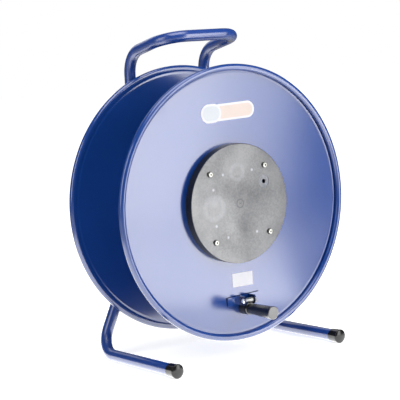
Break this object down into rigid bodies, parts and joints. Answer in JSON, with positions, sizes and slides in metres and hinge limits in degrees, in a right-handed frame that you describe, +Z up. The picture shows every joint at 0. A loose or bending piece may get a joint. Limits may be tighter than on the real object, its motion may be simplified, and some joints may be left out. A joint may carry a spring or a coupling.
{
  "type": "cable reel",
  "caption": "Empty steel cable reel with rolled flanges on a bent tube carrying stand, with a folding crank and a moulded hub plate.",
  "frame": {"origin": "on the floor, under the middle of the whole reel", "axes": "+Z up, the drum's axle along Y with the crank on the -Y side, +X to the right of somebody facing the crank"},
  "size_m": [0.3799, 0.2268, 0.4518],
  "materials": {
    "blue_paint": "satin ultramarine enamel",
    "hub_plastic": "fine grained dark grey moulding",
    "grip_plastic": "smooth black moulding",
    "cap_plastic": "shiny black moulding",
    "zinc_steel": "bright zinc plate",
    "black_steel": "black oxide"
  },
  "bodies": {
    "stand": {"frame_tube": "blue_paint", "foot_cap_left": "cap_plastic", "foot_cap_right": "cap_plastic", "axle_plate": "blue_paint", "axle": "zinc_steel", "axle_spacer": "zinc_steel", "retaining_ring": "zinc_steel", "axle_washer": "zinc_steel", "axle_nut": "zinc_steel"},
    "drum": {"front_flange": "blue_paint", "rear_flange": "blue_paint", "core_barrel": "blue_paint", "front_hub_plate": "hub_plastic", "rear_hub_plate": "hub_plastic", "crank_bracket": "blue_paint", "pivot_pin": "zinc_steel"},
    "crank": {"crank_foot": "black_steel", "hinge_barrel": "zinc_steel", "spindle": "zinc_steel"},
    "grip": {"grip": "grip_plastic", "grip_cap": "grip_plastic"}
  },
  "joints": [
    {"name": "drum_spin", "type": "hinge", "parent": "stand", "child": "drum", "pos_m": [0, 0.0109, 0.2132], "axis": [0, -1, 0], "continuous": true},
    {"name": "crank_fold", "type": "hinge", "parent": "drum", "child": "crank", "pos_m": [0.00647, -0.0601, 0.07856], "axis": [-0.9988, 0, -0.048], "range_deg": [0, 90]},
    {"name": "grip_spin", "type": "hinge", "parent": "crank", "child": "grip", "pos_m": [0.00703, -0.0604, 0.06677], "axis": [0, -1, 0], "continuous": true}
  ]
}
